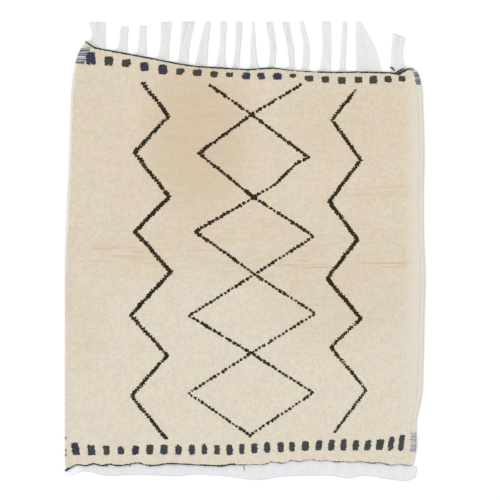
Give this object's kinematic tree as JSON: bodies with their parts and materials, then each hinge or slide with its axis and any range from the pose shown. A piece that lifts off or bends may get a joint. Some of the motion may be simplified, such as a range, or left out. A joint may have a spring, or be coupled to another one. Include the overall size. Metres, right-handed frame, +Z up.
{
  "type": "hand-knotted pile rug",
  "caption": "Rectangular cream wool pile rug with dark zigzag and lozenge lines, block borders, a loose warp fringe at one end and a plain woven band at the other.",
  "frame": {"origin": "middle of the whole rug's box, on the floor that it lies on", "axes": "+Z up out of the pile, +Y along the rug towards the fringe, +X across it to the right, seen from above with the fringe at the far end"},
  "size_m": [1.5873, 2.0274, 0.016],
  "materials": {
    "pile_wool_cream": "matt knotted wool pile, cream with beige mottling",
    "selvedge_wool_ivory": "overcast wool yarn, greyish ivory",
    "wool_dark": "matt navy to near-black wool yarn",
    "cotton_warp_white": "loose white cotton warp yarn, slightly lustrous",
    "cotton_band_white": "plain woven white cotton, matt"
  },
  "bodies": {
    "root": {"rug_field": "pile_wool_cream", "selvedge_left": "selvedge_wool_ivory", "selvedge_right": "selvedge_wool_ivory", "twining_upper": "wool_dark", "twining_lower": "wool_dark", "fringe": "cotton_warp_white", "end_band": "cotton_band_white"}
  },
  "joints": []
}
